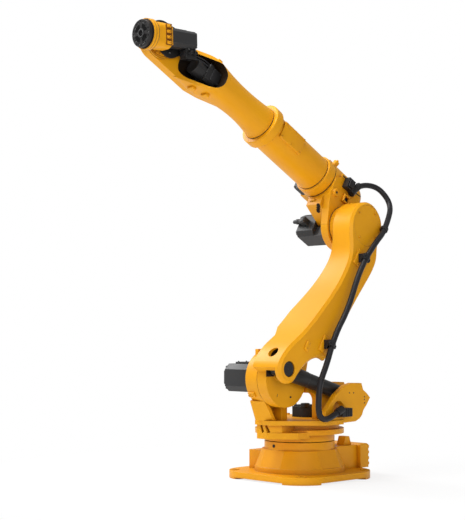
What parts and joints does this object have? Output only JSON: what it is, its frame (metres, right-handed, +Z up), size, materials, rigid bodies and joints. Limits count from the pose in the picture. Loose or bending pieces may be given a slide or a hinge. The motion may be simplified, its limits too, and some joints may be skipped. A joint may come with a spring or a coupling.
{
  "type": "industrial robot arm",
  "caption": "Floor-mounted six-axis industrial robot arm with a long forearm, a counterbalance cylinder and a dress hose, used to handle loads",
  "frame": {"origin": "centre of the base bolt pattern, on the first axis, at the floor", "axes": "+X forward over the base, +Y to the side that carries the lower arm, +Z up"},
  "size_m": [1.89, 0.797, 2.7303],
  "materials": {
    "yellow_paint": "semi-gloss golden yellow paint on cast iron and aluminium",
    "dark_grey_paint": "satin dark grey paint on motor housings",
    "black_paint": "satin black paint on steel",
    "ground_steel": "ground steel",
    "hose_rubber": "matt black corrugated hose",
    "black_plastic": "matt black moulded plastic"
  },
  "bodies": {
    "base": {"base_casting": "yellow_paint", "base_connector_box": "yellow_paint", "base_connectors": "black_plastic", "base_side_cover": "yellow_paint", "j1_stop_block": "yellow_paint"},
    "turret": {"turret_casting": "yellow_paint", "turret_lug": "yellow_paint", "outer_bracket": "yellow_paint", "inner_bracket": "yellow_paint", "trunnion_pin": "ground_steel", "j1_motor": "dark_grey_paint", "j2_motor": "dark_grey_paint", "j2_encoder": "dark_grey_paint", "j2_lid": "dark_grey_paint", "hose_anchor": "black_plastic", "dress_hose_base": "hose_rubber"},
    "counterbalance_barrel": {"cylinder_barrel": "black_paint"},
    "counterbalance_rod": {"cylinder_rod": "ground_steel"},
    "lower_arm": {"lower_arm_casting": "yellow_paint", "counterbalance_pin": "black_paint", "j3_cover": "yellow_paint", "hose_clamp_upper": "black_plastic", "hose_clamp_lower": "black_plastic", "dress_hose_arm": "hose_rubber", "dress_hose_elbow": "hose_rubber"},
    "elbow": {"elbow_housing": "yellow_paint", "j3_reducer": "yellow_paint", "j3_motor": "dark_grey_paint", "j3_encoder": "dark_grey_paint", "j3_plug": "dark_grey_paint", "j4_motor": "dark_grey_paint", "elbow_lug": "yellow_paint", "hose_bracket": "black_plastic"},
    "forearm": {"elbow_ring": "yellow_paint", "arm_tube": "yellow_paint", "extension_ring": "yellow_paint", "forearm_casting": "yellow_paint", "j5_motor": "dark_grey_paint"},
    "wrist": {"wrist_housing": "yellow_paint", "wrist_cover": "dark_grey_paint", "j6_motor_plate": "yellow_paint", "j6_motor": "dark_grey_paint", "wrist_cable_box": "black_plastic"},
    "flange": {"tool_flange": "dark_grey_paint"}
  },
  "joints": [
    {"name": "j1_swing", "type": "hinge", "parent": "base", "child": "turret", "pos_m": [0, 0, 0.25], "axis": [0, 0, 1], "range_deg": [-180, 180]},
    {"name": "j2_lower_arm", "type": "hinge", "parent": "turret", "child": "lower_arm", "pos_m": [0.335, 0.13, 0.63], "axis": [0, 1, 0], "range_deg": [-28, 108], "deforming": ["dress_hose_base"]},
    {"name": "cylinder_swing", "type": "hinge", "parent": "turret", "child": "counterbalance_barrel", "pos_m": [-0.15, 0.2645, 0.515], "axis": [0, 1, 0], "range_deg": [-5.3, 20.3]},
    {"name": "rod_pivot", "type": "hinge", "parent": "lower_arm", "child": "counterbalance_rod", "pos_m": [0.45818, 0.2645, 0.69518], "axis": [0, 1, 0], "range_deg": [-88, 23]},
    {"name": "j3_elbow", "type": "hinge", "parent": "lower_arm", "child": "elbow", "pos_m": [-0.26116, 0.2, 1.58405], "axis": [0, -1, 0], "range_deg": [-70, 140], "deforming": ["dress_hose_elbow"]},
    {"name": "j4_roll", "type": "hinge", "parent": "elbow", "child": "forearm", "pos_m": [-0.3816, 0, 1.80313], "axis": [0.8763, 0, 0.4818], "range_deg": [-210, 210]},
    {"name": "j5_bend", "type": "hinge", "parent": "forearm", "child": "wrist", "pos_m": [1.09936, -0.07, 2.61729], "axis": [0, 1, 0], "range_deg": [-150.8, 89.2]},
    {"name": "j6_flange", "type": "hinge", "parent": "wrist", "child": "flange", "pos_m": [1.30424, 0, 2.61014], "axis": [0.9994, 0, -0.0349], "range_deg": [-360, 360]}
  ],
  "couplings": [
    {"joint": "cylinder_swing", "follows": "j2_lower_arm", "ratio": 0.187},
    {"joint": "rod_pivot", "follows": "j2_lower_arm", "ratio": -0.813}
  ]
}
